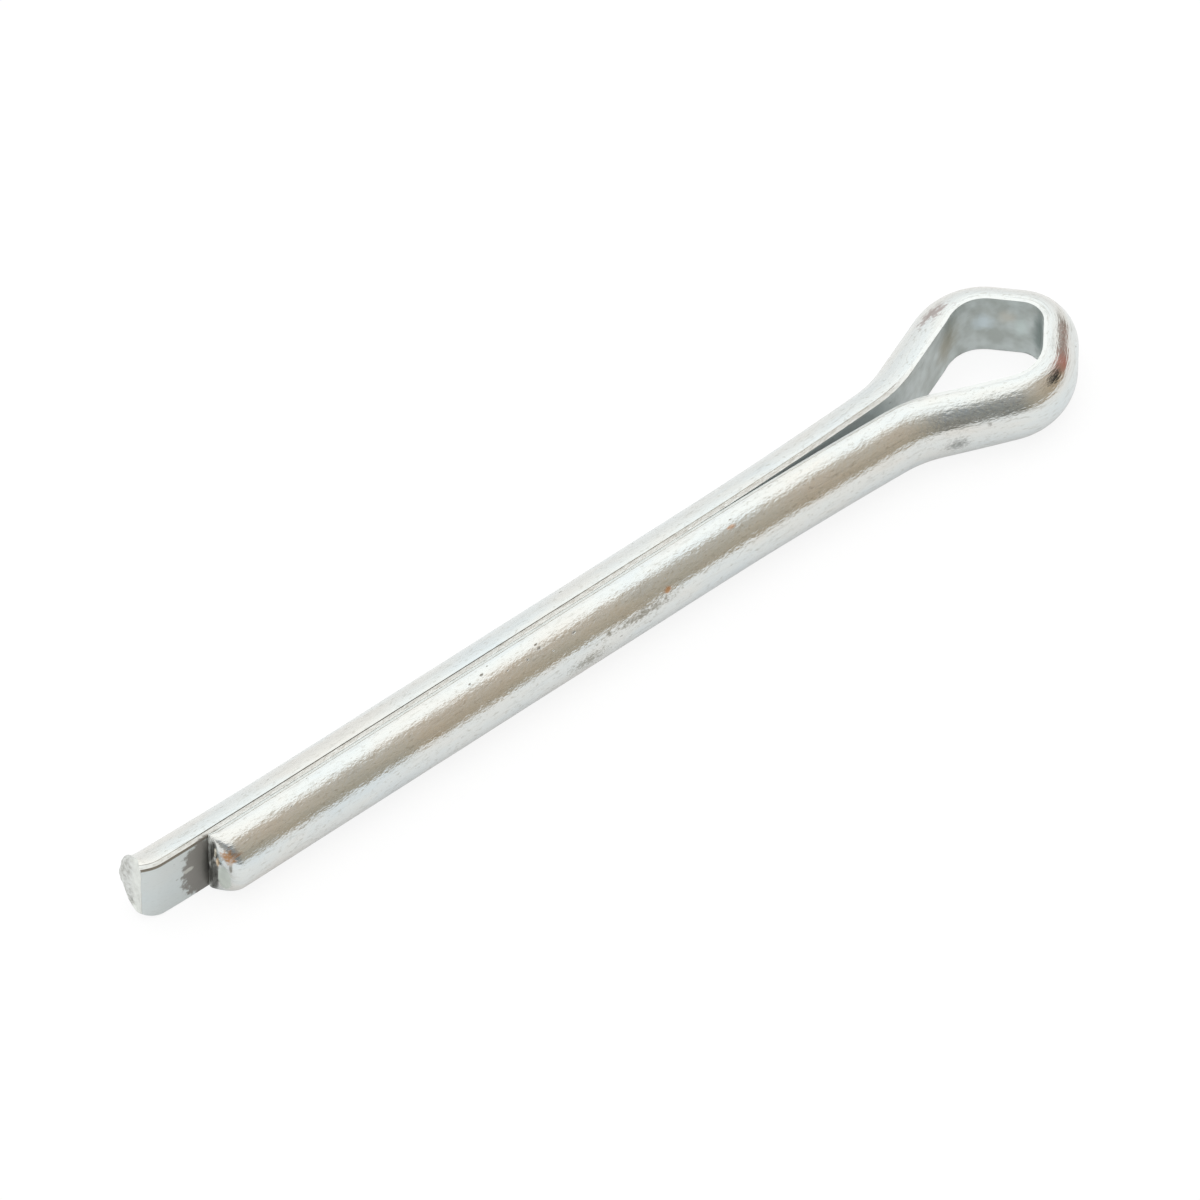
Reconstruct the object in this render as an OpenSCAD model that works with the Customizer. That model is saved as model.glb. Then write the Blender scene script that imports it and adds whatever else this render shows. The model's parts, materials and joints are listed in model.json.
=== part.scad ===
// Split cotter pin: one length of half-round wire, folded with its flat sides together.
// It lies on its side, as it comes to rest: the shank runs along X with the eye at its +X end,
// and the parting plane between the two legs stands upright on the X axis.

/* [Wire] */
// Diameter of the closed shank, its two half-round legs together
pin_d = 3.6; // [3:0.1:4.6]
// How far the wire's rolled edges stay inside the round outline of the shank
edge_drop = 0.035; // [0.03:0.005:0.08]
// Radius between a rolled edge and the flat side
edge_r = 0.25; // [0.1:0.01:0.25]

/* [Legs] */
// Length from the eye's shoulder to the short leg's tip
leg_l = 40.4; // [22:0.1:80]
// How far the long leg reaches past the short one
extension_l = 3.4; // [2.4:0.1:6]
// Slit between the two legs of the closed shank
slit = 0.04; // [0.02:0.02:0.08]
// Length over which the legs part, from the closed shank to the neck
parting_l = 13; // [6:0.5:18]
// Gap between the legs at the neck
neck_gap = 0.56; // [0.2:0.02:0.9]
// Length of the bevel that the shears leave on the long leg's flat side
bevel_l = 2; // [0.5:0.1:2.2]
// Depth of that bevel at the tip
bevel_depth = 0.3; // [0.1:0.05:0.6]

/* [Eye] */
// Width over the eye
eye_w = 7.96; // [6.6:0.02:12]
// Angle between the shank and the eye's rear sides
shoulder_angle = 21.7; // [18:0.1:30]
// Angle between the shank and the eye's front sides
nose_angle = 47.4; // [40:0.1:60]
// Radius of the wire's flat side in the bend at the neck
neck_r = 7.7; // [4:0.1:12]
// Inner radius of the eye's side corners
corner_r = 1.92; // [0.6:0.02:2.4]
// Inner radius of the eye's nose
nose_r = 0.86; // [0.4:0.02:1.2]

/* [Hidden] */
$fn = 96;

// The tight bends are this much slimmer all round than the straights, and lap into them
bend_slim = 0.003;
bend_lap = 0.02;

wire_r = pin_d / 2;
edge_h = wire_r - edge_drop;
flat_y = slit / 2;

// The wire's path is the line that lies flat_y outside its flat side: it is the X axis in the closed
// shank, and the points below are in plan, with the origin at the eye's shoulder
neck_path_r = neck_r + flat_y;
corner_path_r = corner_r - flat_y;
nose_path_r = nose_r - flat_y;
neck_y = neck_gap / 2 - flat_y;
parting_angle = 2 * atan(neck_y / parting_l);
parting_path_r = parting_l / sin(parting_angle);
neck_x = -neck_path_r * (sin(shoulder_angle) - sin(parting_angle));
parting_x = neck_x - parting_l;
shoulder_y = neck_y + neck_path_r * (cos(parting_angle) - cos(shoulder_angle));
corner_y = eye_w / 2 - wire_r - corner_path_r;
rear_l = (corner_y + corner_path_r * cos(shoulder_angle) - shoulder_y) / sin(shoulder_angle);
corner_x = rear_l * cos(shoulder_angle) + corner_path_r * sin(shoulder_angle);
front_x = corner_x + corner_path_r * sin(nose_angle);
front_y = corner_y + corner_path_r * cos(nose_angle);
front_l = (front_y - nose_path_r * cos(nose_angle)) / sin(nose_angle);
nose_x = front_x + front_l * cos(nose_angle) - nose_path_r * sin(nose_angle);

tip_x = -leg_l - extension_l;
eye_end_x = nose_x + nose_path_r + wire_r - bend_slim;

// Cross-section of one leg: X is the depth from the path, Y the height
module half_round(slim = 0) {
    flat_x = flat_y + slim;
    half_h = edge_h - slim;
    intersection() {
        circle(wire_r - slim);
        union() {
            translate([flat_x, edge_r - half_h]) square([pin_d, 2 * (half_h - edge_r)]);
            translate([flat_x + edge_r, -half_h]) square([pin_d, 2 * half_h]);
            for (side = [-1, 1])
                translate([flat_x + edge_r, side * (half_h - edge_r)]) circle(edge_r);
        }
    }
}

// A straight run along +X from the origin, with its flat side towards -Y
module straight(l) {
    rotate([90, 0, 90]) linear_extrude(l) half_round();
}

// The long, slight curve in which a leg leaves the closed shank
module parting_curve() {
    rotate([0, 0, -90])
        rotate_extrude(angle = parting_angle)
            translate([parting_path_r, 0]) mirror([1, 0]) half_round();
}

// A tight bend about the origin, between two headings of the wire, with its flat side outside
module outward_bend(path_r, from, to) {
    lap = bend_lap / path_r * 180 / PI;
    rotate([0, 0, from - 90 - lap])
        rotate_extrude(angle = to - from + 2 * lap)
            translate([path_r, 0]) mirror([1, 0]) half_round(bend_slim);
}

// The same with the flat side inside
module inward_bend(path_r, from, to) {
    lap = bend_lap / path_r * 180 / PI;
    rotate([0, 0, to + 90 - lap])
        rotate_extrude(angle = from - to + 2 * lap)
            translate([path_r, 0]) half_round(bend_slim);
}

// One leg and its side of the eye, on the +Y side of the parting plane
module half_pin(l) {
    translate([-l, 0, 0]) straight(l + parting_x);
    translate([parting_x, parting_path_r, 0]) parting_curve();
    translate([
        neck_x - neck_path_r * sin(parting_angle),
        neck_y + neck_path_r * cos(parting_angle),
        0
    ])
        outward_bend(neck_path_r, parting_angle, shoulder_angle);
    translate([0, shoulder_y, 0]) rotate([0, 0, shoulder_angle]) straight(rear_l);
    translate([corner_x, corner_y, 0]) inward_bend(corner_path_r, shoulder_angle, -nose_angle);
    translate([front_x, front_y, 0]) rotate([0, 0, -nose_angle]) straight(front_l);
}

// What the shears take off the flat side of the long leg's tip
module tip_bevel() {
    slope = bevel_depth / bevel_l;
    translate([tip_x, flat_y, -wire_r])
        linear_extrude(pin_d)
            polygon([
                [bevel_l, 0],
                [-bevel_l, bevel_depth + slope * bevel_l],
                [-bevel_l, -wire_r],
                [bevel_l, -wire_r]
            ]);
}

module cotter_pin() {
    color("silver")
        translate([-(tip_x + eye_end_x) / 2, 0, edge_h]) {
            difference() {
                half_pin(leg_l + extension_l);
                tip_bevel();
            }
            mirror([0, 1, 0]) half_pin(leg_l);
            translate([nose_x, 0, 0]) inward_bend(nose_path_r, -nose_angle, nose_angle - 180);
        }
}

cotter_pin();
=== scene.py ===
# A split cotter pin, lying on its side on a pale table. One length of half-round steel wire is
# folded flat to flat round a former, which leaves a kite-shaped eye, and its two ends are sheared
# off so that one leg is longer than the other. The whole pin is then barrel plated with zinc.

import json
import math

import bmesh
import bpy
import numpy as np
from mathutils import Matrix, Vector, noise


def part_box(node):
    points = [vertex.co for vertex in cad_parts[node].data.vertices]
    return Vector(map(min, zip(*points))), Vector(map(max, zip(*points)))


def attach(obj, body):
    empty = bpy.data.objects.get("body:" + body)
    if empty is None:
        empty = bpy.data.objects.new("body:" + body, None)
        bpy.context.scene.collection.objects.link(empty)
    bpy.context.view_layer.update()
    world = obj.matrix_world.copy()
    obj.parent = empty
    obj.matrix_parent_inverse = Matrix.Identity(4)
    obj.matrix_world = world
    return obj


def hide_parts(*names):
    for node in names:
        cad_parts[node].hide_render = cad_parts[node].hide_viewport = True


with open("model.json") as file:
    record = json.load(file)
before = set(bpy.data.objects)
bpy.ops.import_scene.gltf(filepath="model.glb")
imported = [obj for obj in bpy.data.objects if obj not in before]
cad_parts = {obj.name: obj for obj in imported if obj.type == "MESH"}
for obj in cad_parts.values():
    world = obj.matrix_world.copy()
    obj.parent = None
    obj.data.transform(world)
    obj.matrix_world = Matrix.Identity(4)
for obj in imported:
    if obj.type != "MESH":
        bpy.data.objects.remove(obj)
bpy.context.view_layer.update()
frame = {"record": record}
MM = 0.001

# ---------------------------------------------------------------------------------------------
# The camera looks down on the pin from beside its tips, and from far enough away to flatten it.
# The pin runs from the lower left of its view to the upper right.
# ---------------------------------------------------------------------------------------------

# The directions it looks in, then its distance from the pin in metres and its lens
VIEW_HEADING = math.radians(49.31)
VIEW_DOWN = math.radians(49.57)
VIEW_ROLL = math.radians(0.82)
VIEW_DISTANCE = 0.588
LENS = 407.0
AIM_SHIFT = Vector((-0.34, 0.51, 0.0)) * MM

pin_low, pin_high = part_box("cotter_pin")
pin_middle = (pin_low + pin_high) / 2
aim = pin_middle + AIM_SHIFT
look = Vector((
    math.cos(VIEW_HEADING) * math.cos(VIEW_DOWN),
    math.sin(VIEW_HEADING) * math.cos(VIEW_DOWN),
    -math.sin(VIEW_DOWN),
))
camera_data = bpy.data.cameras.new("camera")
camera_data.lens = LENS
camera_data.clip_start = 0.01
camera = bpy.data.objects.new("camera", camera_data)
turn = look.to_track_quat("-Z", "Y").to_matrix().to_4x4() @ Matrix.Rotation(VIEW_ROLL, 4, "Z")
camera.matrix_world = Matrix.Translation(aim - look * VIEW_DISTANCE) @ turn
bpy.context.scene.collection.objects.link(camera)
bpy.context.scene.camera = camera
bpy.context.scene.view_settings.view_transform = "Standard"

# ---------------------------------------------------------------------------------------------
# The table is a plain white sheet, far wider than the view, under a large soft box. The room is
# white overhead and behind the pin, and dim and warm low down in front of it, where whoever
# looks at it stands. The bright plating shows that as bands along the wire.
# ---------------------------------------------------------------------------------------------

# The table and the soft box, in metres and watts
TABLE_HALF = 1.5
TABLE_WHITE = (0.50, 0.503, 0.506, 1.0)
TABLE_GLOW = 0.38
BLEACH_SHARE = 0.75
BLEACH_GLOW = 1.03
SOFT_BOX_HEIGHT = 0.6
SOFT_BOX_SIZE = 0.5
SOFT_BOX_POWER = 1.1

# The colour low down in each direction, in degrees round from +X, and how high it reaches there
ROOM_LOW = [
    (-180, (1.00, 1.00, 0.99), 0.00),
    (-165, (0.55, 0.55, 0.53), 0.40),
    (-130, (0.26, 0.26, 0.25), 0.70),
    (-100, (0.25, 0.25, 0.235), 0.72),
    (-84, (0.40, 0.36, 0.29), 0.76),
    (-65, (0.50, 0.425, 0.33), 0.77),
    (-38, (0.54, 0.43, 0.31), 0.75),
    (-30, (0.54, 0.43, 0.32), 0.70),
    (-23, (0.40, 0.24, 0.18), 0.56),
    (-14, (0.50, 0.21, 0.17), 0.48),
    (-6, (0.40, 0.25, 0.21), 0.42),
    (2, (0.36, 0.31, 0.28), 0.38),
    (12, (0.60, 0.58, 0.55), 0.22),
    (22, (0.98, 0.99, 0.99), 0.00),
    (180, (1.00, 1.00, 0.99), 0.00),
]
# The colour by height: up where it is white, and as a tint over what is low down
ROOM_HIGH = [
    (0.0, (0.98, 0.99, 0.99)), (0.5, (1.15, 1.16, 1.15)), (0.75, (1.21, 1.22, 1.21)),
    (0.9, (1.30, 1.31, 1.29)),
]
ROOM_HAZE = [
    (0.0, (0.90, 0.90, 0.88)), (0.27, (0.97, 1.00, 1.02)), (0.45, (1.18, 1.22, 1.28)),
    (0.7, (1.26, 1.38, 1.60)),
]
# Over how much height the one gives way to the other
ROOM_BLEND = 0.19

# One dark thing stands in the room: where it is, how wide it looks, and its colour
DARK_SPOT = Vector((0.741, -0.538, 0.400))
DARK_SPOT_EDGE = (math.cos(math.radians(13)), math.cos(math.radians(8)))
DARK_SPOT_COLOUR = (0.025, 0.028, 0.028, 1.0)


def new_material(name):
    """A material with its node tree and its Principled BSDF, ready for nodes."""
    made = bpy.data.materials.new(name)
    made.use_nodes = True
    return made, made.node_tree, made.node_tree.nodes["Principled BSDF"]


class NodeBench:
    """A node tree with short calls that add a node, set its inputs and wire it up."""

    def __init__(self, tree, prefix="ShaderNode"):
        self.tree, self.prefix = tree, prefix

    def add(self, kind, settings=None, **inputs):
        """Adds a node. Its inputs go by name, or by number where the name is i0, i1 and so on."""
        whole = kind.startswith(("Shader", "NodeGroup"))
        node = self.tree.nodes.new(kind if whole else self.prefix + kind)
        for name, value in (settings or {}).items():
            setattr(node, name, value)
        for name, value in inputs.items():
            if name.startswith("i") and name[1:].isdigit():
                socket = node.inputs[int(name[1:])]
            else:
                socket = node.inputs[name.replace("_", " ")]
            self.put(socket, value)
        return node

    def put(self, socket, value):
        """Links a node or socket to the socket, or sets it to a plain value."""
        if isinstance(value, bpy.types.Node):
            value = next(o for o in value.outputs if o.enabled)
        if isinstance(value, bpy.types.NodeSocket):
            self.tree.links.new(value, socket)
        else:
            socket.default_value = value

    def maths(self, operation, *values):
        node = self.add("ShaderNodeMath", {"operation": operation})
        for socket, value in zip(node.inputs, values):
            self.put(socket, value)
        return node.outputs[0]

    def vector(self, operation, *values):
        node = self.add("ShaderNodeVectorMath", {"operation": operation})
        sockets = [node.inputs[0], node.inputs["Scale"]] if operation == "SCALE" else node.inputs
        for socket, value in zip(sockets, values):
            self.put(socket, value)
        return node.outputs["Value"] if operation in ("LENGTH", "DOT_PRODUCT") else node.outputs[0]

    def ease(self, value, start, end, low=0.0, high=1.0):
        """A smooth step from low to high as the value goes from start to end."""
        node = self.add(
            "ShaderNodeMapRange", {"interpolation_type": "SMOOTHSTEP"},
            i0=value, i1=start, i2=end, i3=low, i4=high,
        )
        return node.outputs["Result"]

    def mix(self, factor, first, second):
        node = self.add("ShaderNodeMix", {"data_type": "RGBA"}, i0=factor, i6=first, i7=second)
        return node.outputs[2]

    def blend(self, factor, first, second):
        node = self.add("ShaderNodeMix", {"data_type": "FLOAT"}, i0=factor, i2=first, i3=second)
        return node.outputs[0]

    def ramp(self, value, stops):
        """A colour ramp from stops of (position, colour)."""
        node = self.add("ShaderNodeValToRGB", Fac=value)
        for i, (at, colour) in enumerate(stops):
            stop = node.color_ramp.elements[i] if i < 2 else node.color_ramp.elements.new(at)
            stop.position, stop.color = at, (*colour, 1.0)
        return node.outputs["Color"]


table_mesh = bpy.data.meshes.new("table")
table_corners = ((-1, -1), (1, -1), (1, 1), (-1, 1))
table_mesh.from_pydata(
    [(x * TABLE_HALF, y * TABLE_HALF, pin_low.z) for x, y in table_corners], [], [(0, 1, 2, 3)],
)
table = bpy.data.objects.new("table", table_mesh)
bpy.context.scene.collection.objects.link(table)
table_paint, table_tree, table_shader = new_material("table_white")
table_shader.inputs["Base Color"].default_value = TABLE_WHITE
table_shader.inputs["Roughness"].default_value = 0.9
table_shader.inputs["Specular IOR Level"].default_value = 0.1
table_shader.inputs["Emission Color"].default_value = (1.0, 1.0, 1.0, 1.0)
table_shader.inputs["Emission Strength"].default_value = TABLE_GLOW

# Seen directly the sheet is lit from behind too, so only the faintest shade is left under the pin
bench = NodeBench(table_tree)
seen = bench.maths("MULTIPLY", bench.add("LightPath").outputs["Is Camera Ray"], BLEACH_SHARE)
sheet = bench.add("MixShader", i0=seen, i1=table_shader, i2=bench.add("Emission", Strength=BLEACH_GLOW))
bench.put(table_tree.nodes["Material Output"].inputs["Surface"], sheet)
table_mesh.materials.append(table_paint)

soft_box_data = bpy.data.lights.new("soft_box", "AREA")
soft_box_data.shape = "SQUARE"
soft_box_data.size = SOFT_BOX_SIZE
soft_box_data.energy = SOFT_BOX_POWER
soft_box = bpy.data.objects.new("soft_box", soft_box_data)
soft_box.location = pin_middle + Vector((0.0, 0.0, SOFT_BOX_HEIGHT))
soft_box.visible_glossy = False
bpy.context.scene.collection.objects.link(soft_box)


def room_light():
    """The room as light from every direction, found from heading and height."""
    world = bpy.data.worlds.new("room")
    world.use_nodes = True
    bench = NodeBench(world.node_tree)
    way = bench.add("TexCoord").outputs["Generated"]
    x, y, z = bench.add("SeparateXYZ", Vector=way).outputs
    heading = bench.add(
        "MapRange", Value=bench.maths("ARCTAN2", y, x), From_Min=-math.pi, From_Max=math.pi,
    ).outputs["Result"]
    low = bench.ramp(heading, [((h + 180) / 360, colour) for h, colour, _ in ROOM_LOW])
    reach = bench.ramp(heading, [((h + 180) / 360, (top,) * 3) for h, _, top in ROOM_LOW])
    high = bench.ramp(z, ROOM_HIGH)
    haze = bench.mix(reach, (1.0, 1.0, 1.0, 1.0), bench.ramp(z, ROOM_HAZE))
    low = bench.vector("MULTIPLY", low, haze)
    near_spot = bench.vector("DOT_PRODUCT", bench.vector("NORMALIZE", way), DARK_SPOT.normalized())
    low = bench.mix(bench.ease(near_spot, *DARK_SPOT_EDGE), low, DARK_SPOT_COLOUR)
    height = bench.ease(z, reach, bench.maths("ADD", reach, ROOM_BLEND))
    bench.put(world.node_tree.nodes["Background"].inputs["Color"], bench.mix(height, low, high))
    bpy.context.scene.world = world


room_light()

# ---------------------------------------------------------------------------------------------
# The wire. Cold-drawn half-round steel, 3.6 mm over the two legs together, whose flat side has
# sloping edges with a fine crease beside them. It is bent with its flat inside: round the nose
# and the side corners of the eye, back the other way at the neck, then straight down each leg.
# ---------------------------------------------------------------------------------------------

shank = next(m for m in frame["record"]["mounts"] if m["name"] == "shank")
WIRE_R = shank["dims"]["r_mm"]
SHANK_Z = shank["pos_m"][2] / MM
LONG_TIP_X = pin_low.x / MM
EYE_END_X = pin_high.x / MM
EYE_HALF = pin_high.y / MM

# Sizes are in millimetres from here on. The long leg reaches this much further than the short one.
EXTENSION = 3.4

# The section: the slit between the legs, the sloping edge, its crease, and the land beside that
SLIT = 0.006
FOOT_ROUND = ((0.003, 0.6), (0.014, 0.25))
SLOPE_FOOT = 0.02
SLOPE_FROM = 0.03
SLOPE_W = 0.17
SLOPE_DROP = 0.085
SLOPE_RISE = 0.93
SLOPE_STEPS = 4
CREASE_W = 0.03
CREASE_DEEP = 0.018
LAND_DROP = 0.002
LAND_ROUND = 0.048
FLAT_STEPS = 12
BACK_STEPS = 40

# The fold in plan: the nose, the side corners and the neck of the eye, then the parted legs
NOSE_ANGLE = math.radians(47.4)
SHOULDER_ANGLE = math.radians(21.7)
NOSE_R = 0.84
CORNER_R = 1.90
NECK_R = 7.72
NECK_HALF_GAP = 0.26
PARTING = 11.5

# The sweep: its rings, closer near the sheared ends, and how far from true the surface is
COARSE_RING = 0.105
FINE_RING = 0.03
FINE_REACH = 2.4
FINE_HOLD = 0.4
WAVINESS = 0.016
WAVE_LENGTH = 1.3
WAVE_STRETCH = (0.35, 1.0, 1.0)


def eye_path():
    """Half of the fold in plan, from the apex of the nose round to where the legs close.

    The path runs along the wire's flat side, half the slit's width clear of it. It is walked as a
    list of straight runs and bends, so that each starts where the last one ended."""
    parting_angle = 2 * math.atan(NECK_HALF_GAP / PARTING)
    corner_y = EYE_HALF - WIRE_R - CORNER_R
    shoulder_y = NECK_HALF_GAP + NECK_R * (math.cos(parting_angle) - math.cos(SHOULDER_ANGLE))
    front_run = (corner_y + (CORNER_R - NOSE_R) * math.cos(NOSE_ANGLE)) / math.sin(NOSE_ANGLE)
    rear_run = (corner_y + CORNER_R * math.cos(SHOULDER_ANGLE) - shoulder_y) / math.sin(SHOULDER_ANGLE)
    place = Vector((EYE_END_X - WIRE_R, 0.0))
    heading = math.pi / 2
    points = [place.copy()]

    def run(length):
        start = place.copy()
        place.xy = start + Vector((math.cos(heading), math.sin(heading))) * length
        steps = max(1, round(length / COARSE_RING))
        points.extend(start.lerp(place, i / steps) for i in range(1, steps + 1))

    def bend(radius, angle):
        nonlocal heading
        side = math.copysign(1.0, angle)
        centre = place + Vector((-math.sin(heading), math.cos(heading))) * radius * side
        steps = round(abs(angle) * (radius + WIRE_R / 2 * (side + 1)) / COARSE_RING)
        for i in range(1, steps + 1):
            now = heading + angle * i / steps
            place.xy = centre + Vector((math.sin(now), -math.cos(now))) * radius * side
            points.append(place.copy())
        heading += angle

    bend(NOSE_R, math.pi / 2 - NOSE_ANGLE)
    run(front_run)
    bend(CORNER_R, NOSE_ANGLE + SHOULDER_ANGLE)
    run(rear_run)
    bend(NECK_R, parting_angle - SHOULDER_ANGLE)
    bend(PARTING / math.sin(parting_angle), -parting_angle)
    return points


def leg_stations(start, tip):
    """Places along a straight leg, close together near its sheared end."""
    stations = []
    at = tip
    while at < start:
        stations.append(at)
        near = min(1.0, max(0.0, (at - tip) / FINE_REACH - FINE_HOLD))
        at += FINE_RING + (COARSE_RING - FINE_RING) * near
    return stations


def wire_path():
    """The whole fold as a poly curve, from the short leg's tip to the long one's."""
    half = [(p.x, p.y) for p in eye_path()]
    neck = half[-1][0] - COARSE_RING
    plan = [(x, 0.0) for x in leg_stations(neck, LONG_TIP_X + EXTENSION)]
    plan += [(x, -y) for x, y in reversed(half)]
    plan += half[1:]
    plan += [(x, 0.0) for x in reversed(leg_stations(neck, LONG_TIP_X))]
    curve = bpy.data.curves.new("wire_path", "CURVE")
    curve.dimensions = "3D"
    spline = curve.splines.new("POLY")
    spline.points.add(len(plan) - 1)
    for point, (x, y) in zip(spline.points, plan):
        point.co = (x * MM, y * MM, SHANK_Z * MM, 1.0)
    made = bpy.data.objects.new("wire_path", curve)
    bpy.context.scene.collection.objects.link(made)
    return made


def wire_section():
    """The wire's cross-section as a closed poly curve: a flat, two sloping edges, a round back."""
    top = SHANK_Z
    foot = top - SLOPE_DROP
    flat = SLIT / 2
    crease = flat + SLOPE_W
    edge = [(flat + out, foot - SLOPE_FOOT * share) for out, share in FOOT_ROUND]
    for i in range(SLOPE_STEPS + 1):
        out = SLOPE_FROM + (SLOPE_W - SLOPE_FROM) * i / SLOPE_STEPS
        edge.append((flat + out, foot + SLOPE_DROP * SLOPE_RISE * i / SLOPE_STEPS))
    edge.append((crease + CREASE_W / 2, top - CREASE_DEEP))
    edge.append((crease + CREASE_W, top - LAND_DROP))
    edge.append((math.sqrt(WIRE_R ** 2 - top ** 2) - LAND_ROUND, top))
    flat_top = foot - SLOPE_FOOT
    down = [(flat, flat_top * math.cos(math.pi * i / FLAT_STEPS)) for i in range(FLAT_STEPS + 1)]
    land = math.acos(top / WIRE_R)
    back = []
    for i in range(BACK_STEPS + 1):
        angle = land - math.pi / 2 + (math.pi - 2 * land) * i / BACK_STEPS
        back.append((WIRE_R * math.cos(angle), WIRE_R * math.sin(angle)))
    outline = down + [(u, -z) for u, z in edge] + back + list(reversed(edge))
    curve = bpy.data.curves.new("wire_section", "CURVE")
    curve.dimensions = "3D"
    spline = curve.splines.new("POLY")
    spline.points.add(len(outline) - 1)
    spline.use_cyclic_u = True
    for point, (u, z) in zip(spline.points, outline):
        point.co = (u * MM, z * MM, 0.0, 1.0)
    made = bpy.data.objects.new("wire_section", curve)
    bpy.context.scene.collection.objects.link(made)
    return made, len(outline)


def fold_wire_tree():
    """Geometry nodes that sweep a section along a path, and keep each point's place in the wire.

    The attribute "wire" holds (distance along, depth from the path, distance below the middle) in
    metres, which the drawing lines, the waviness and the finish all follow."""
    tree = bpy.data.node_groups.new("fold_wire", "GeometryNodeTree")
    face = tree.interface
    for name, kind in (
        ("Path", "Geometry"), ("Section", "Object"), ("Waviness", "Float"),
        ("Wave Length", "Float"), ("Plating", "Material"),
    ):
        face.new_socket(name, in_out="INPUT", socket_type="NodeSocket" + kind)
    face.new_socket("Wire", in_out="OUTPUT", socket_type="NodeSocketGeometry")
    bench = NodeBench(tree, "GeometryNode")
    given = bench.add("NodeGroupInput").outputs
    result = bench.add("NodeGroupOutput")

    def store(geometry, name, kind, value):
        node = bench.add("StoreNamedAttribute", {"data_type": kind}, Geometry=geometry, Name=name)
        bench.put(node.inputs["Value"], value)
        return node

    def read(name, kind):
        return bench.add("InputNamedAttribute", {"data_type": kind}, Name=name).outputs["Attribute"]

    upright = bench.add("SetCurveNormal", {"mode": "Z_UP"}, Curve=given["Path"])
    path = store(upright, "along", "FLOAT", bench.add("SplineParameter").outputs["Length"])
    section = bench.add("ObjectInfo", Object=given["Section"]).outputs["Geometry"]
    profile = store(section, "section", "FLOAT_VECTOR", bench.add("InputPosition"))
    swept = bench.add("CurveToMesh", Curve=path, Profile_Curve=profile)
    in_section = bench.add("ShaderNodeSeparateXYZ", Vector=read("section", "FLOAT_VECTOR")).outputs
    wire = bench.add(
        "ShaderNodeCombineXYZ", X=read("along", "FLOAT"), Y=in_section["X"], Z=in_section["Y"],
    )
    body = store(swept, "wire", "FLOAT_VECTOR", wire)

    # Drawn wire is never quite straight: its surface swells and dips by a few microns
    drawn_out = bench.vector("MULTIPLY", wire, WAVE_STRETCH)
    waves = bench.vector("SCALE", drawn_out, bench.maths("DIVIDE", 1.0, given["Wave Length"]))
    swell = bench.add("ShaderNodeTexNoise", Vector=waves, Scale=1.0, Detail=2.0).outputs["Fac"]
    height = bench.maths("MULTIPLY", bench.maths("SUBTRACT", swell, 0.5), given["Waviness"])
    normal = bench.add("InputNormal").outputs["Normal"]
    wavy = bench.add("SetPosition", Geometry=body, Offset=bench.vector("SCALE", normal, height))
    real = bench.add("RealizeInstances", Geometry=wavy)
    plated = bench.add("SetMaterial", Geometry=real, Material=given["Plating"])
    bench.put(result.inputs["Wire"], plated)
    return tree


plating, plating_tree, plating_shader = new_material("bright_zinc")
path = wire_path()
section, section_points = wire_section()
sweep = path.modifiers.new("fold_wire", "NODES")
sweep.node_group = fold_wire_tree()
socket_of = {item.name: item.identifier for item in sweep.node_group.interface.items_tree}
sweep[socket_of["Section"]] = section
sweep[socket_of["Waviness"]] = WAVINESS * MM
sweep[socket_of["Wave Length"]] = WAVE_LENGTH * MM
sweep[socket_of["Plating"]] = plating
depsgraph = bpy.context.evaluated_depsgraph_get()
swept_wire = bpy.data.meshes.new_from_object(path.evaluated_get(depsgraph), depsgraph=depsgraph)
for scaffold in (path, section):
    bpy.data.objects.remove(scaffold)

# ---------------------------------------------------------------------------------------------
# The two sheared ends. The long leg is cropped from its flat side, which pushes the flat over and
# leaves a lip on the back. The short leg is cropped from its round side: the back rolls over into
# the cut, with one clean facet low down, and the broken face beyond it took no zinc.
# ---------------------------------------------------------------------------------------------

# How much the eye is thinned, and from which x to which x it grows to that on each leg's side
EYE_THINNED = 0.21
SHORT_SIDE_THIN = (15.5, 19.5)
LONG_SIDE_THIN = (20.6, 22.8)

# The thinned flat's sharp upper rim, and its lower edge, which is pressed in
RIM_LEVEL = 1.63
RIM_SINK = 0.008
UNDERCUT = 0.13
UNDERCUT_W = 0.04

# Points of the section, counted round it: those in one edge, and one on the flat and on the back
FLAT_MIDDLE = FLAT_STEPS // 2
EDGE_POINTS = len(FOOT_ROUND) + SLOPE_STEPS + 4
BACK_MIDDLE = FLAT_STEPS + EDGE_POINTS + BACK_STEPS // 2

# The long leg's end: how far the flat is pushed over and raised, its lean, its lip and its swell
LONG_PUSH = 0.26
LONG_PUSH_REACH = 0.95
LONG_LIFT = 0.30
LONG_LEAN = 0.05
LONG_LEAN_LIFT = 0.07
LONG_LEAN_REACH = 2.6
LONG_LIP = 0.09
LONG_SWELL = 0.14
LONG_SWELL_REACH = 8.0
LONG_HIGH_SET_BACK = 0.22
LONG_LOW_SET_BACK = 0.17

# The short leg's end: how far its back rolls over, the burr at its top, and its clean facet
SHORT_ROLL = 0.62
SHORT_ROLL_REACH = 0.72
SHORT_SQUASH = 0.20
SHORT_BURR = 0.06
SHORT_BURR_REACH = 0.5
FACET_FOOT = 0.66
FACET_SLOPE = 3.8

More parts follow.
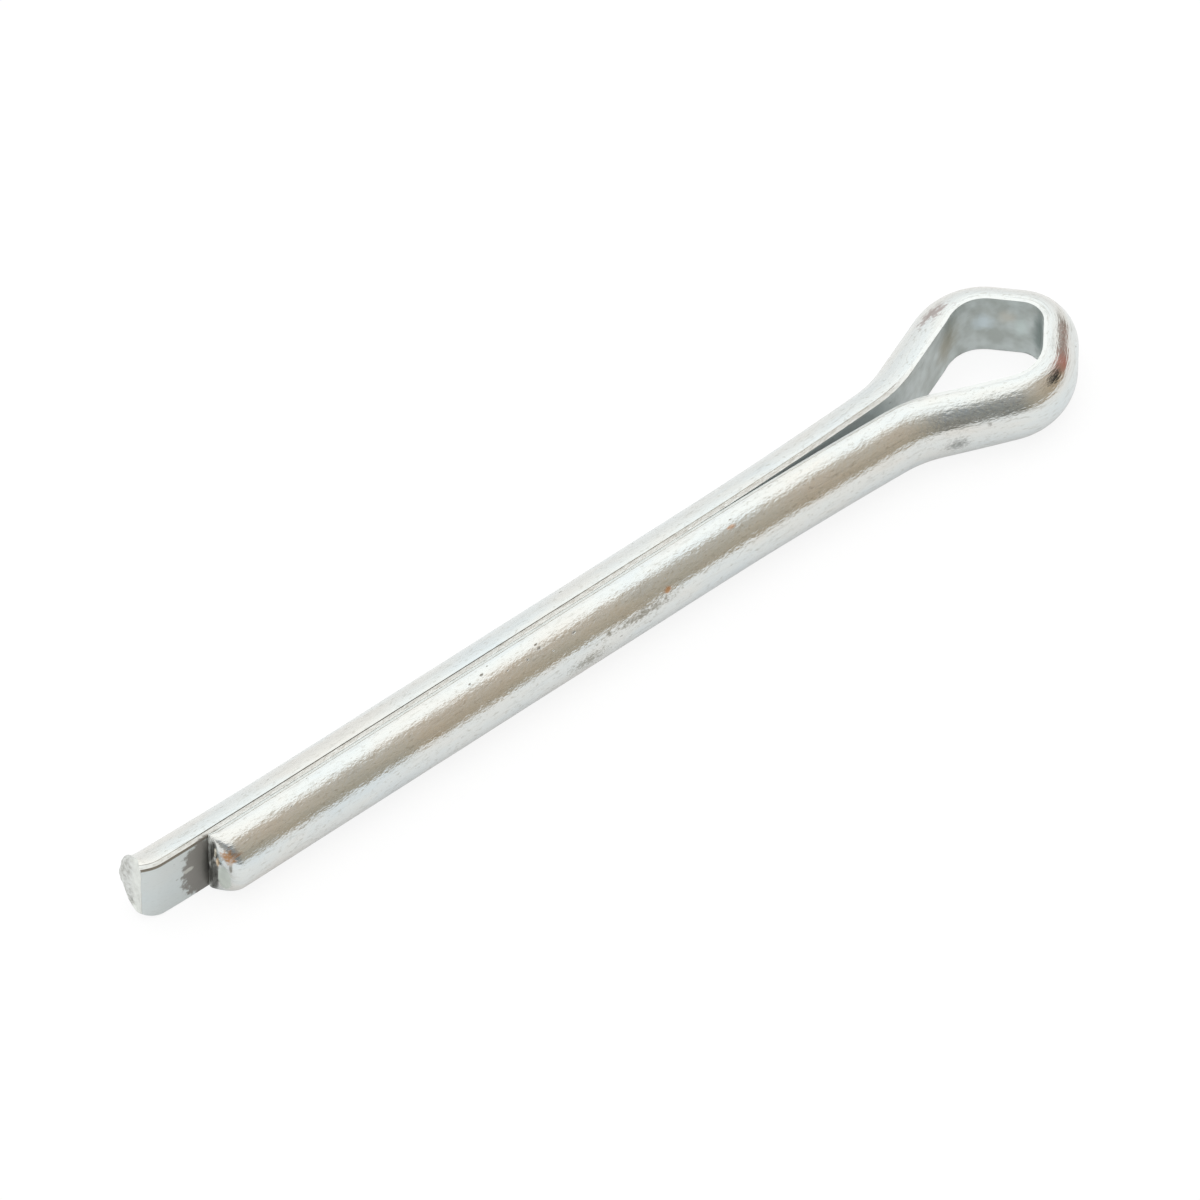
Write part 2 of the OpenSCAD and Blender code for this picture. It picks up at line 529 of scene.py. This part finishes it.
# The broken face inside each rim: its rings as shares of the rim, how far it stands out, and the
# torn metal's layers of (grain size, height)
FACE_RINGS = (0.985, 0.955, 0.90, 0.82, 0.70, 0.55, 0.38, 0.18)
FACE_FLATNESS = 0.85
FACE_STEP = 0.012
FACE_DOME = 0.03
FACE_DOME_SHARE = 1 / 4
FACE_APEX = 0.04
FACE_TORN_SHARE = 1 / 9
FACE_TORN = ((0.5, 0.16), (0.16, 0.07))
RIM_TORN = ((0.35, 0.09), (0.12, 0.04))
RIM_TORN_REACH = 0.25
RIM_SEEDS = (2, 5)
SHORT_FACE_SEED = 11
LONG_FACE_SEED = 17
SEED_STEPS = (7.3, 3.1, 5.7)
SHARP_EDGE = math.radians(38)


def vectors(mesh, name):
    """A mesh's point vectors of that name, in millimetres, one row for each point."""
    values = np.empty(len(mesh.vertices) * 3)
    mesh.attributes[name].data.foreach_get("vector", values)
    return values.reshape(-1, 3) / MM


def between(value, start, end):
    """A smooth step from 0 at start to 1 at end, level outside them."""
    t = np.clip((value - start) / (end - start), 0.0, 1.0)
    return t * t * (3 - 2 * t)


def torn(points, layers, seeds):
    """How far torn metal stands out at each point: layers of (grain size, height) in millimetres."""
    out = 0.0
    for (size, height), seed in zip(layers, seeds):
        shift = Vector([seed * step for step in SEED_STEPS])
        out += np.array([noise.noise(Vector(p) / size + shift) for p in points]) * 0.5 * height
    return out


def thin_the_eye(rings, depth):
    """Thins the wire round the eye from its flat side, as the former does, in place.

    Each row of rings is one turn of the section, and depth is each point's depth in the wire. The
    upper rim is left sharper there, and the lower edge of the flat is pressed in."""
    outward = rings[:, BACK_MIDDLE] - rings[:, FLAT_MIDDLE]
    outward /= np.linalg.norm(outward, axis=1)[:, None]
    at_x, at_y = rings[:, FLAT_MIDDLE, 0], rings[:, FLAT_MIDDLE, 1]
    bent = between(at_x, *SHORT_SIDE_THIN)
    thinned = EYE_THINNED * np.where(at_y > 0, between(at_x, *LONG_SIDE_THIN), bent)
    rings += outward[:, None] * (thinned[:, None] * (1 - depth / WIRE_R))[..., None]
    level = rings[..., 2] - SHANK_Z
    rim = (level > RIM_LEVEL) & (depth < SLIT / 2 + SLOPE_W + CREASE_W * 1.2)
    rim_level = SHANK_Z - RIM_SINK * np.clip(1 - depth / (SLOPE_W + CREASE_W), 0, 1)
    rings[..., 2] += (rim_level - level) * rim * bent[:, None]
    lower_edge = (level < -RIM_LEVEL) & (depth < SLIT / 2 + UNDERCUT_W)
    rings[..., 2] += UNDERCUT * lower_edge * bent[:, None]


def shape_long_tip(u, z, away):
    """Where the flat and back of the long leg go near its end, and how far they are set back.

    u is the distance out from the flat, z the height, and away the distance from the end."""
    push = np.clip(1 - away / LONG_PUSH_REACH, 0, None) ** 2
    lean = np.clip(1 - away / LONG_LEAN_REACH, 0, None) ** 2
    swell = LONG_SWELL * between(away, LONG_SWELL_REACH, 0) * np.clip(u / WIRE_R, 0, 1)
    low = between(-z, 0.2, 1.7)
    high = between(z, 0.2, 1.4)

    # The push dies away through the wire, less so near its top, where it leaves the lip
    held = 1 - between(u, 0, 1.7) * (1 - 0.6 * high)
    new_u = u + LONG_PUSH * push * held + LONG_LEAN * lean + swell
    new_z = z + (LONG_LIFT * push + LONG_LEAN_LIFT * lean) * low
    new_z += LONG_LIP * push * between(z, 0.9, 1.6) * between(u, 0.1, 0.6)
    set_back = LONG_HIGH_SET_BACK * push * high * between(u, 0, 0.6)
    set_back += LONG_LOW_SET_BACK * push * (1 - high) * between(u, 0.9, 1.7)
    return new_u, new_z, set_back


def shape_short_tip(u, z, away):
    """The same for the short leg, whose back rolls over into the cut within a millimetre."""
    cut = np.clip(1 - away / SHORT_ROLL_REACH, 0, 1)
    roll = 1 - np.sqrt(1 - cut ** 2)
    new_u = u * (1 - SHORT_ROLL * roll)
    new_z = z * (1 - SHORT_SQUASH * roll * np.clip(u / WIRE_R * 1.3, 0, 1))
    facet = FACET_FOOT + FACET_SLOPE * away
    pared = between(new_z, 0.5, 0.38)
    new_u = np.where(new_u > facet, new_u + (facet - new_u) * pared, new_u)
    new_z += SHORT_BURR * between(away, SHORT_BURR_REACH, 0) * between(z, 1.5, 1.7)
    return new_u, new_z, 0.0


def shape_tips(points, along):
    """Shapes both legs near their sheared ends, and leaves each rim a little ragged, in place."""
    from_end = along.max() - along
    for away, side, shape in ((along, -1.0, shape_short_tip), (from_end, 1.0, shape_long_tip)):
        near = away < LONG_SWELL_REACH
        u, z = points[near, 1] * side, points[near, 2] - SHANK_Z
        new_u, new_z, set_back = shape(u, z, away[near])
        points[near, 1], points[near, 2] = new_u * side, new_z + SHANK_Z
        points[near, 0] += set_back
    rim = np.minimum(along, from_end)
    near = rim < RIM_TORN_REACH
    points[near, 0] += torn(points[near], RIM_TORN, RIM_SEEDS) * between(rim[near], RIM_TORN_REACH, 0)


def torn_face(ring, ring_wire, first, first_new, seed):
    """The broken face inside a rim, as points, their places in the wire, and faces.

    The rim's points are numbered on from first, and the new ones from first_new."""
    middle, middle_wire = ring.mean(axis=0), ring_wire.mean(axis=0)
    count = len(ring)
    points, places, faces = [], [], []
    outer = first
    for i, share in enumerate(FACE_RINGS):
        new = middle + (ring - middle) * share
        if i > 1:
            new[:, 0] = new[:, 0] * (1 - FACE_FLATNESS) + middle[0] * FACE_FLATNESS
        inward = 1 - share
        ragged = torn(new, FACE_TORN, (seed, seed + 1)) * between(inward, 0, FACE_TORN_SHARE)
        new[:, 0] += ragged - (FACE_STEP + FACE_DOME * between(inward, 0, FACE_DOME_SHARE))
        points.append(new)
        places.append(middle_wire + (ring_wire - middle_wire) * share)
        inner = first_new + i * count
        for j in range(count):
            after = (j + 1) % count
            faces.append((outer + j, outer + after, inner + after, inner + j))
        outer = inner
    points.append(middle[None, :] - np.array([[FACE_APEX, 0, 0]]))
    places.append(middle_wire[None, :])
    apex = first_new + len(FACE_RINGS) * count
    faces.extend((outer + j, outer + (j + 1) % count, apex) for j in range(count))
    return points, places, faces


def finish_ends(swept, ring_points):
    """The swept tube thinned at the eye, with its ends shaped and closed, as a new mesh.

    Its attribute "wire" is the swept one, and "sheared" is 1 on the broken faces."""
    co, wire = vectors(swept, "position"), vectors(swept, "wire")
    thin_the_eye(co.reshape(-1, ring_points, 3), wire[:, 1].reshape(-1, ring_points))
    shape_tips(co, wire[:, 0])
    points, places = [co], [wire]
    faces = [tuple(polygon.vertices) for polygon in swept.polygons]
    for first, seed in ((0, SHORT_FACE_SEED), (len(co) - ring_points, LONG_FACE_SEED)):
        rim = slice(first, first + ring_points)
        used = sum(len(p) for p in points)
        more_points, more_places, more_faces = torn_face(co[rim], wire[rim], first, used, seed)
        points += more_points
        places += more_places
        faces += [face[::-1] for face in more_faces] if first == 0 else more_faces
    points = np.concatenate(points)
    broken = np.ones(len(points))
    broken[:len(co)] = 0.0
    made = bpy.data.meshes.new("folded_wire")
    made.from_pydata((points * MM).tolist(), [], faces)
    place = made.attributes.new("wire", "FLOAT_VECTOR", "POINT")
    place.data.foreach_set("vector", (np.concatenate(places) * MM).ravel())
    sheared = made.attributes.new("sheared", "FLOAT", "POINT")
    sheared.data.foreach_set("value", broken)
    made.materials.append(plating)
    return made


wire_mesh = finish_ends(swept_wire, section_points)
bpy.data.meshes.remove(swept_wire)
folded_wire = bpy.data.objects.new("folded_wire", wire_mesh)
bpy.context.scene.collection.objects.link(folded_wire)
turned_out = bmesh.new()
turned_out.from_mesh(wire_mesh)
bmesh.ops.recalc_face_normals(turned_out, faces=turned_out.faces)
turned_out.to_mesh(wire_mesh)
turned_out.free()
wire_mesh.shade_smooth()
wire_mesh.set_sharp_from_angle(angle=SHARP_EDGE)

# ---------------------------------------------------------------------------------------------
# The finish. Bright zinc over drawn steel: lengthwise grain, a mottle in the plating, pits, a
# frosted slope along each edge, and bare, rusted, scuffed or stained places where it is worn.
# Painted shade and painted reflections are laid in too, inside the eye, on its inner wall and
# under the long leg's lip, and the long leg's crease is painted darker.
# ---------------------------------------------------------------------------------------------

ZINC_COOL = (0.68, 0.73, 0.745)
ZINC_PLAIN = (0.72, 0.745, 0.735)
ZINC_WARM = (0.735, 0.725, 0.69)
ZINC_SLOPE = (0.84, 0.86, 0.845)
ZINC_FLAT = (0.62, 0.68, 0.69)
STREAK_GREY = (0.45, 0.45, 0.42)
FLECK_GREY = (0.42, 0.41, 0.365)
PIT_BROWN = (0.24, 0.225, 0.19)
NICK_BROWN = (0.22, 0.20, 0.16)
# the darker colour laid along the long leg's crease
CREASE_DARK = (0.12, 0.115, 0.10)
# the painted shadow of the long leg's lip
LIP_SHADOW = (0.15, 0.12, 0.08)
# the two tones of painted shade inside the eye
EYE_SHADE_DARK = (0.33, 0.355, 0.32)
EYE_SHADE_PALE = (0.60, 0.645, 0.63)
BROKEN_DARK = (0.42, 0.42, 0.39)
BROKEN_MID = (0.62, 0.63, 0.61)
BROKEN_PALE = (0.76, 0.78, 0.76)
BROKEN_CLEAN = (0.80, 0.82, 0.785)

# How high each grain stands, in millimetres
STREAK_HIGH = 0.004
ORANGE_PEEL_HIGH = 0.017
SPECKLE_HIGH = 0.014
PIT_DEEP = 0.02
BROKEN_HIGH = 0.035

# Blots, each with its centre, reach, raggedness, softness, colour, roughness and strength. These are
# the painted reflections and painted shade in clouds on the eye's inner wall, the bare steel by the
# short leg's end, and its burr.
STAIN_AND_REFLECTION_GRAIN = (2.6, 2.6, 2.6)
STAINS_AND_WALL_REFLECTIONS = {
    # painted reflections, and painted shade at the nose, on the eye's inner wall
    "wall_blue": ((22.9, 1.9, 1.95), (0.75, 0.7, 0.75), 0.4, 0.9, (0.70, 0.79, 0.84), 0.30, 0.75),
    "wall_tan": ((23.7, 1.2, 2.4), (0.6, 0.6, 0.6), 0.4, 0.9, (0.70, 0.66, 0.58), 0.30, 0.5),
    "wall_green": ((24.1, 0.7, 1.8), (0.5, 0.5, 0.9), 0.3, 0.9, (0.70, 0.79, 0.77), 0.30, 0.7),
    "wall_nose_shade": ((24.45, -0.3, 1.9), (0.35, 0.75, 2.0), 0.25, 0.7, (0.22, 0.27, 0.26), 0.40, 0.85),
    "wall_brown": ((20.7, 2.15, 1.9), (1.5, 0.7, 1.6), 0.4, 0.8, (0.36, 0.33, 0.24), 0.40, 0.75),
    "bare_corner": ((-22.9, 0.03, 1.7), (1.25, 0.12, 2.1), 0.55, 0.22, (0.24, 0.225, 0.205), 0.50, 0.92),
    "bare_root": ((-22.6, 0.0, 1.7), (0.42, 0.12, 2.0), 0.2, 0.9, (0.10, 0.10, 0.09), 0.50, 0.85),
    "bare_streak": ((-23.68, 0.02, 1.95), (0.42, 0.1, 0.16), 0.7, 0.5, (0.62, 0.62, 0.58), 0.45, 0.8),
    "bare_end": ((-22.58, -0.36, 1.6), (0.12, 0.42, 2.1), 0.2, 0.35, (0.15, 0.15, 0.138), 0.50, 0.92),
    "facet": ((-22.5, -0.98, 1.40), (0.25, 0.42, 0.85), 0.25, 0.25, (0.62, 0.67, 0.62), 0.50, 0.85),
    "burr_a": ((-22.63, -0.50, 2.80), (0.12, 0.10, 0.34), 0.3, 0.4, (0.76, 0.72, 0.62), 0.40, 0.9),
    "burr_b": ((-22.60, -0.66, 2.28), (0.12, 0.10, 0.34), 0.3, 0.4, (0.76, 0.62, 0.46), 0.40, 0.9),
    "notch": ((-22.36, -1.30, 2.25), (0.16, 0.13, 0.32), 0.4, 0.5, (0.24, 0.225, 0.19), 0.50, 0.8),
}

# Rust where the zinc is gone, and scale, scuffs and smudges from handling
RUST_GRAIN = (3.2, 8.0, 8.0)
RUST_AND_SCUFFS = {
    "rust_tip": ((-22.24, -1.08, 2.82), (0.60, 0.54, 0.46), 0.9, 0.75, (0.44, 0.22, 0.085), 0.50, 0.9),
    "rust_fleck_a": ((5.86, -0.93, 3.32), (0.30, 0.14, 0.14), 0.8, 0.8, (0.66, 0.40, 0.24), 0.45, 0.7),
    "rust_fleck_b": ((1.79, -1.51, 2.73), (0.30, 0.22, 0.22), 0.9, 0.8, (0.58, 0.30, 0.12), 0.45, 0.85),
    "mark": ((18.96, -3.06, 2.43), (0.15, 0.2, 0.14), 1.0, 0.8, (0.36, 0.35, 0.32), 0.50, 0.6),
    "scuff": ((20.6, 2.88, 3.4), (1.2, 0.45, 0.5), 1.8, 0.8, (0.36, 0.30, 0.285), 0.50, 0.8),
}
SCALE_GRAIN = (6.5, 13.0, 13.0)
SCALE_AND_SMUDGES = {
    "scale_a": ((-1.66, -1.66, 2.46), (0.20, 0.3, 0.17), 0.9, 0.9, (0.22, 0.20, 0.15), 0.50, 0.75),
    "scale_b": ((0.2, -1.68, 2.38), (2.2, 0.6, 0.28), 1.7, 1.0, (0.30, 0.285, 0.24), 0.45, 0.85),
    "scale_c": ((-2.9, -1.80, 1.75), (1.3, 0.6, 0.44), 1.7, 1.0, (0.30, 0.29, 0.25), 0.45, 0.8),
    "smudge": ((17.5, -2.62, 1.72), (0.90, 0.5, 0.46), 1.1, 1.0, (0.26, 0.27, 0.26), 0.45, 0.82),
}

# Where handling has nicked the plating: its centre, reach, raggedness and softness
NICKED = ((-1.5, -1.7, 2.0), (6.5, 0.6, 0.9), 0.5, 0.9)


def blot_group():
    """A ragged patch round a centre, from 0 outside to 1 inside."""
    group = bpy.data.node_groups.new("blot", "ShaderNodeTree")
    for name, kind in (
        ("Place", "Vector"), ("Centre", "Vector"), ("Reach", "Vector"),
        ("Raggedness", "Float"), ("Softness", "Float"), ("Grain", "Vector"),
    ):
        group.interface.new_socket(name, in_out="INPUT", socket_type="NodeSocket" + kind)
    group.interface.new_socket("Mask", in_out="OUTPUT", socket_type="NodeSocketFloat")
    bench = NodeBench(group)
    given = bench.add("NodeGroupInput").outputs
    off = bench.vector("SUBTRACT", given["Place"], given["Centre"])
    far = bench.vector("LENGTH", bench.vector("DIVIDE", off, given["Reach"]))
    grained = bench.vector("MULTIPLY", given["Place"], given["Grain"])
    cloud = bench.add("TexNoise", Vector=grained, Scale=1.0, Detail=4.0, Roughness=0.62)
    ragged = bench.maths("MULTIPLY", bench.maths("SUBTRACT", cloud.outputs["Fac"], 0.5), 2.0)
    edge = bench.maths("ADD", far, bench.maths("MULTIPLY", ragged, given["Raggedness"]))
    inner = bench.maths("SUBTRACT", 1.0, given["Softness"])
    bench.put(bench.add("NodeGroupOutput").inputs["Mask"], bench.ease(edge, inner, 1.0, 1.0, 0.0))
    return group


def grain_group():
    """The marks of the drawing die and the plating barrel, as heights and masks."""
    group = bpy.data.node_groups.new("drawn_and_plated", "ShaderNodeTree")
    group.interface.new_socket("Wire", in_out="INPUT", socket_type="NodeSocketVector")
    for name in ("Height", "Mottle", "Streak", "Flecks", "Pits", "Slope", "Crease", "Flat"):
        group.interface.new_socket(name, in_out="OUTPUT", socket_type="NodeSocketFloat")
    bench = NodeBench(group)
    wire = bench.add("NodeGroupInput").outputs["Wire"]
    result = bench.add("NodeGroupOutput").inputs
    depth, height = bench.add("SeparateXYZ", Vector=wire).outputs[1:]

    def cloud(stretch, scale, detail, roughness=0.55):
        """Noise drawn out along the wire: the smaller the stretch, the longer its streaks."""
        place = bench.vector("MULTIPLY", wire, (stretch, 1.0, 1.0))
        node = bench.add("TexNoise", Vector=place, Scale=scale, Detail=detail, Roughness=roughness)
        return node.outputs["Fac"]

    streak = cloud(0.12, 6.0, 4.0)
    orange_peel = cloud(0.45, 3.2, 3.0)
    speckle = cloud(0.55, 9.0, 2.0)
    flecks = bench.ease(cloud(0.45, 7.5, 4.0, 0.65), 0.53, 0.70)
    mottle = cloud(0.3, 0.55, 4.0)

    # Pits of all sizes gather in places, and their rims are uneven
    gather = bench.ease(cloud(0.22, 0.5, 2.0), 0.5, 0.66)
    drawn = bench.vector("MULTIPLY", wire, (0.5, 1.0, 1.0))
    cells = bench.add("TexVoronoi", Vector=drawn, Scale=3.4, Randomness=1.0).outputs
    size = bench.add("SeparateColor", Color=cells["Color"]).outputs[0]
    reach = bench.maths("MULTIPLY", bench.maths("MULTIPLY", size, gather), 0.30)
    uneven = bench.maths("ADD", cells["Distance"], bench.maths("MULTIPLY", speckle, 0.10))
    pits = bench.ease(uneven, bench.maths("MULTIPLY", reach, 0.55), reach, 1.0, 0.0)

    # The sloping edges, the crease beside each, and the flat between them
    off_middle = bench.maths("ABSOLUTE", height)
    at_rim = bench.ease(off_middle, 1.60, 1.66)
    slope_end = SLIT / 2 + SLOPE_W
    slope = bench.maths("MULTIPLY", bench.ease(depth, slope_end, slope_end + 0.02, 1.0, 0.0), at_rim)
    beside = bench.maths("ABSOLUTE", bench.maths("SUBTRACT", depth, slope_end + CREASE_W / 2))
    crease = bench.maths("MULTIPLY", bench.ease(beside, 0.01, 0.032, 1.0, 0.0), at_rim)
    flat_top = SHANK_Z - SLOPE_DROP - SLOPE_FOOT
    flat = bench.maths(
        "MULTIPLY", bench.ease(depth, SLIT / 2 + 0.01, SLIT / 2 + 0.04, 1.0, 0.0),
        bench.ease(off_middle, flat_top - 0.008, flat_top + 0.004, 1.0, 0.0),
    )

    lift = bench.maths("MULTIPLY", streak, STREAK_HIGH)
    lift = bench.maths("ADD", lift, bench.maths("MULTIPLY", orange_peel, ORANGE_PEEL_HIGH))
    lift = bench.maths("ADD", lift, bench.maths("MULTIPLY", speckle, SPECKLE_HIGH))
    lift = bench.maths("SUBTRACT", lift, bench.maths("MULTIPLY", pits, PIT_DEEP))
    for name, value in (
        ("Height", lift), ("Mottle", mottle), ("Streak", streak), ("Flecks", flecks), ("Pits", pits),
        ("Slope", slope), ("Crease", crease), ("Flat", flat),
    ):
        bench.put(result[name], value)
    return group


bench = NodeBench(plating_tree)
in_wire = bench.add("Attribute", {"attribute_name": "wire"}).outputs["Vector"]
in_wire = bench.vector("SCALE", in_wire, 1 / MM)
depth, level = bench.add("SeparateXYZ", Vector=in_wire).outputs[1:]
place = bench.vector("SCALE", bench.add("TexCoord").outputs["Object"], 1 / MM)
x, y, _ = bench.add("SeparateXYZ", Vector=place).outputs
sheared = bench.add("Attribute", {"attribute_name": "sheared"}).outputs["Fac"]
grain = bench.add("Group", {"node_tree": grain_group()}, Wire=in_wire).outputs
blots = blot_group()


def tinted(colour, mask, strength, tint):
    """The colour with a tint laid over it where the mask says, at that strength."""
    return bench.mix(bench.maths("MULTIPLY", mask, strength), colour, (*tint, 1.0))


def blot(name, centre, reach, raggedness, softness, grain_size):
    """The mask of one blot on the pin."""
    return bench.add(
        "Group", {"node_tree": blots, "label": name}, Place=place, Centre=centre, Reach=reach,
        Raggedness=raggedness, Softness=softness, Grain=grain_size,
    ).outputs["Mask"]


colour = bench.ramp(grain["Mottle"], [(0.36, ZINC_COOL), (0.5, ZINC_PLAIN), (0.66, ZINC_WARM)])
colour = bench.mix(bench.ease(grain["Streak"], 0.42, 0.3, 0.0, 0.25), colour, (*STREAK_GREY, 1.0))
colour = tinted(colour, grain["Slope"], 0.7, ZINC_SLOPE)
colour = tinted(colour, grain["Pits"], 0.75, PIT_BROWN)
colour = tinted(colour, grain["Flecks"], 0.45, FLECK_GREY)
colour = tinted(colour, grain["Flat"], 0.7, ZINC_FLAT)
roughness = bench.ease(grain["Streak"], 0.35, 0.65, 0.24, 0.13)
roughness = bench.blend(grain["Flat"], roughness, 0.34)
roughness = bench.blend(grain["Slope"], roughness, 0.42)
roughness = bench.blend(grain["Pits"], roughness, 0.55)

# The crease is painted darker down the long leg, fading out toward the neck and toward the tip
drawn = bench.vector("MULTIPLY", place, (1.0, 0.1, 0.1))
patchy = bench.add("TexNoise", Vector=drawn, Scale=2.2, Detail=3.0).outputs["Fac"]
patchy_x = bench.maths("ADD", x, bench.maths("MULTIPLY", patchy, 26.0))
crease_dark = bench.maths("MULTIPLY", bench.ease(patchy_x, 4.0, 22.0, 1.0, 0.0), bench.ease(x, -24.6, -22.4))
crease_dark = bench.maths("MULTIPLY", bench.maths("MULTIPLY", grain["Crease"], crease_dark), bench.ease(y, 0.0, 0.1))
colour = tinted(colour, crease_dark, 0.9, CREASE_DARK)

# Painted shadow: where the long leg stands clear, the shadow of its lip is laid as a dark line along the
# very edge of its flat
by_flat = bench.ease(depth, 0.02, 0.045, 1.0, 0.0)
lip_shadow = bench.maths("MULTIPLY", by_flat, bench.ease(level, -1.50, -1.56))
lip_shadow = bench.maths("MULTIPLY", lip_shadow, bench.ease(x, -21.8, -22.6))
colour = tinted(colour, lip_shadow, 0.9, LIP_SHADOW)

# Painted shade: the flat side inside the eye is darkened, in clouds
clouds = bench.add("TexNoise", Vector=place, Scale=1.1, Detail=2.0).outputs["Fac"]
painted_eye_shade = bench.ramp(clouds, [(0.36, EYE_SHADE_DARK), (0.62, EYE_SHADE_PALE)])
eye_shade_mask = bench.maths("MULTIPLY", grain["Flat"], bench.ease(x, 14.0, 18.0, 0.0, 0.62))
colour = bench.mix(eye_shade_mask, colour, painted_eye_shade)

# The broken face of a sheared end is dull and granular, and cleaner beside the flat
granular = bench.add("TexNoise", Vector=place, Scale=3.6, Detail=4.0, Roughness=0.62).outputs["Fac"]
broken = bench.ramp(granular, [(0.32, BROKEN_DARK), (0.5, BROKEN_MID), (0.68, BROKEN_PALE)])
broken = tinted(broken, bench.ease(depth, 0.45, 0.95, 1.0, 0.0), 0.75, BROKEN_CLEAN)
colour = bench.mix(sheared, colour, broken)
roughness = bench.blend(sheared, roughness, 0.45)

# Small nicks, only where the pin was handled
drawn = bench.vector("MULTIPLY", place, (0.4, 1.0, 1.0))
cells = bench.add("TexVoronoi", Vector=drawn, Scale=5.5, Randomness=1.0).outputs
size = bench.add("SeparateColor", Color=cells["Color"]).outputs[1]
reach = bench.maths("MULTIPLY", bench.maths("POWER", size, 2.5), 0.44)
nicks = bench.ease(cells["Distance"], bench.maths("MULTIPLY", reach, 0.5), reach, 1.0, 0.0)
nicks = bench.maths("MULTIPLY", nicks, blot("nicked", *NICKED, STAIN_AND_REFLECTION_GRAIN))
colour = tinted(colour, nicks, 0.8, NICK_BROWN)
roughness = bench.blend(nicks, roughness, 0.5)

for grain_size, marks in (
    (STAIN_AND_REFLECTION_GRAIN, STAINS_AND_WALL_REFLECTIONS), (RUST_GRAIN, RUST_AND_SCUFFS), (SCALE_GRAIN, SCALE_AND_SMUDGES),
):
    for name, (centre, reach, raggedness, softness, tint, dull, strength) in marks.items():
        mask = blot(name, centre, reach, raggedness, softness, grain_size)
        mask = bench.maths("MULTIPLY", mask, strength)
        colour = bench.mix(mask, colour, (*tint, 1.0))
        roughness = bench.blend(mask, roughness, dull)

granules = bench.maths("MULTIPLY", bench.maths("MULTIPLY", granular, sheared), BROKEN_HIGH)
bump = bench.add("Bump", Height=bench.maths("ADD", grain["Height"], granules), Distance=MM, Strength=1.0)
for name, value in (
    ("Base Color", colour), ("Roughness", roughness), ("Normal", bump.outputs["Normal"]),
    ("Metallic", bench.blend(grain["Flat"], 1.0, 0.55)),
):
    bench.put(plating_shader.inputs[name], value)

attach(folded_wire, "root")
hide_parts("cotter_pin")
